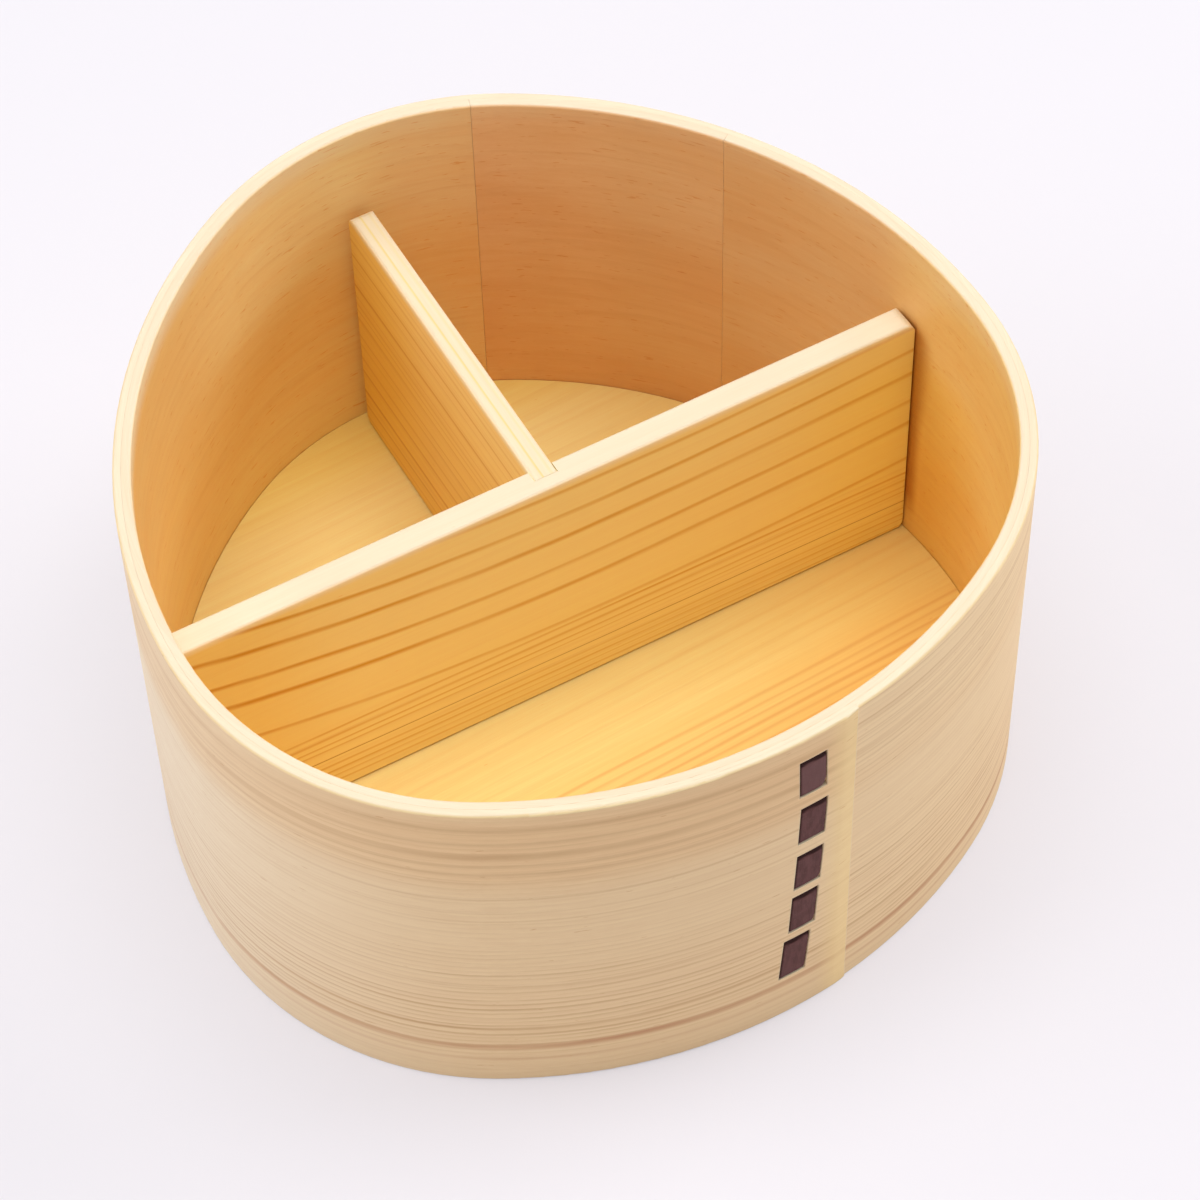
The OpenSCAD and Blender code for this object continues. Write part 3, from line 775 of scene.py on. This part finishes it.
# The studio in metres: the floor's radius, how far it lies below the box, and the lamps' size, aim, places and power
FLOOR_R, FLOOR_DROP = 4.0, 0.0002
LAMP_SIZE = 0.9
LAMP_AIM = Vector((0, 0, 0.04))
LAMPS = (
    ("overhead", (0.0, -0.02, 1.25), 7.4),
    ("left_softbox", (-0.85, 0.35, 0.85), 5.0),
    ("right_softbox", (1.0, -0.08, 0.75), 6.5),
)
# The camera as fitted to the photograph: its place, its right, up and back, its lens and its sensor, in mm
CAMERA_PLACE = Vector((-179.568, -355.408, 567.424))
CAMERA_AXES = (
    (0.872743, -0.487851, -0.017919), (0.402105, 0.697564, 0.593056), (-0.276824, -0.524791, 0.804962),
)
LENS, SENSOR_W = 125.27, 36.0


def studio_floor():
    """A plain pale floor, wide enough for every view, that keeps a soft share of the object's shadow."""
    mesh = bpy.data.meshes.new("floor")
    shape = bmesh.new()
    bmesh.ops.create_circle(shape, cap_ends=True, radius=FLOOR_R, segments=96)
    shape.to_mesh(mesh)
    shape.free()
    floor = scene_object("floor", mesh)
    floor.location.z = -FLOOR_DROP
    material = bpy.data.materials.new("pale_floor")
    material.use_nodes = True
    tree = material.node_tree
    tree.nodes.clear()
    output = add(tree, "OutputMaterial")
    lit = add(tree, "BsdfDiffuse", {"Color": srgb(228, 225, 231)}).outputs[0]
    glow = add(tree, "Emission", {"Color": srgb(244, 241, 247), "Strength": 1.0}).outputs[0]
    path = add(tree, "LightPath").outputs
    mirrored = calc(tree, "MAXIMUM", path["Is Glossy Ray"], path["Is Transmission Ray"])
    seen = calc(tree, "MAXIMUM", path["Is Camera Ray"], mirrored)
    place = add(tree, "NewGeometry").outputs["Position"]
    away = add(tree, "VectorMath", {0: place}, operation="LENGTH").outputs["Value"]
    share = times(tree, seen, spread(tree, away, 0.3, 1.2, 0.45, 1.0))
    tree.links.new(add(tree, "MixShader", {0: share, 1: lit, 2: glow}).outputs[0], output.inputs["Surface"])
    mesh.materials.append(material)


def studio_light():
    """An even white room, a soft light overhead and a softbox at each side."""
    world = bpy.data.worlds.new("room")
    world.use_nodes = True
    bpy.context.scene.world = world
    tree = world.node_tree
    tree.nodes.clear()
    output = add(tree, "OutputWorld")
    path = add(tree, "LightPath").outputs
    seen = calc(tree, "MAXIMUM", path["Is Camera Ray"], path["Is Transmission Ray"])
    fill = add(tree, "Background", {"Color": (1.0, 0.99, 0.98, 1.0), "Strength": 0.46}).outputs[0]
    backdrop = add(tree, "Background", {"Color": srgb(246, 243, 248), "Strength": 1.0}).outputs[0]
    tree.links.new(add(tree, "MixShader", {0: seen, 1: fill, 2: backdrop}).outputs[0], output.inputs["Surface"])
    for name, place, power in LAMPS:
        data = bpy.data.lights.new(name, "AREA")
        data.shape = "DISK"
        data.size = LAMP_SIZE
        data.energy = power
        lamp = scene_object(name, data)
        lamp.location = place
        lamp.rotation_euler = (LAMP_AIM - Vector(place)).to_track_quat("-Z", "Y").to_euler()


def photo_camera():
    """The camera at the photograph's place and angle."""
    data = bpy.data.cameras.new("camera")
    data.sensor_width = SENSOR_W
    data.lens = LENS
    camera = scene_object("camera", data)
    camera.matrix_world = Matrix.Translation(CAMERA_PLACE * MM) @ Matrix(CAMERA_AXES).transposed().to_4x4()
    bpy.context.scene.camera = camera


def dress(node, material):
    """Gives a CAD node its one material."""
    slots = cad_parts[node].data.materials
    slots.clear()
    slots.append(material)


# Inner plies: pale and deep wood, latewood and streaks
INNER_COLOURS = (srgb(254, 225, 156), srgb(253, 215, 140), srgb(226, 166, 92), srgb(238, 184, 120))
# The splice's darker, pinker colours are partly its own wood, partly painted shade and a painted pinkish cast of
# reflected light
SPLICE_COLOURS = (srgb(240, 196, 140), srgb(236, 184, 124), srgb(208, 142, 86), srgb(232, 176, 120))
# How their colour changes along them: (turn, factors of red, green and blue); partly the wood's own tone, partly
# painted shade and a painted pinkish cast of reflected light
INNER_TONE_AND_SHADE = [
    (0.104, (0.97, 0.87, 1.0, 1.0)), (0.126, (1.0, 0.95, 1.12, 1.0)), (0.16, (1.0, 1.02, 1.12, 1.0)),
    (0.3, (1.0, 0.95, 0.88, 1.0)), (0.5, (1.0, 1.0, 1.0, 1.0)), (0.8, (0.94, 0.94, 0.82, 1.0)),
    (0.89, (0.9, 0.85, 0.76, 1.0)), (0.93, (0.83, 0.71, 0.77, 1.0)), (1.0, (0.8, 0.67, 0.74, 1.0)),
]
SPLICE_TONE_AND_SHADE = [(0.53, (0.95, 0.93, 0.94, 1.0)), (0.57, (1.02, 0.99, 1.03, 1.0)), (0.604, (1.08, 1.08, 1.2, 1.0))]

bpy.context.scene.view_settings.view_transform = "Standard"
photo_camera()
studio_floor()
studio_light()
dress("outer_band", outer_band_wood())
dress("inner_band", inner_ply_wood("inner_band_wood", INNER_COLOURS, SEAM_TURN, INNER_TONE_AND_SHADE))
dress("inner_splice", inner_ply_wood("inner_splice_wood", SPLICE_COLOURS, SEAM_TURN + math.pi, SPLICE_TONE_AND_SHADE))
dress("bottom_board", bottom_board_wood())
dress("long_divider", long_divider_wood())
dress("short_divider", short_divider_wood())
bark_strip(bark_skin())
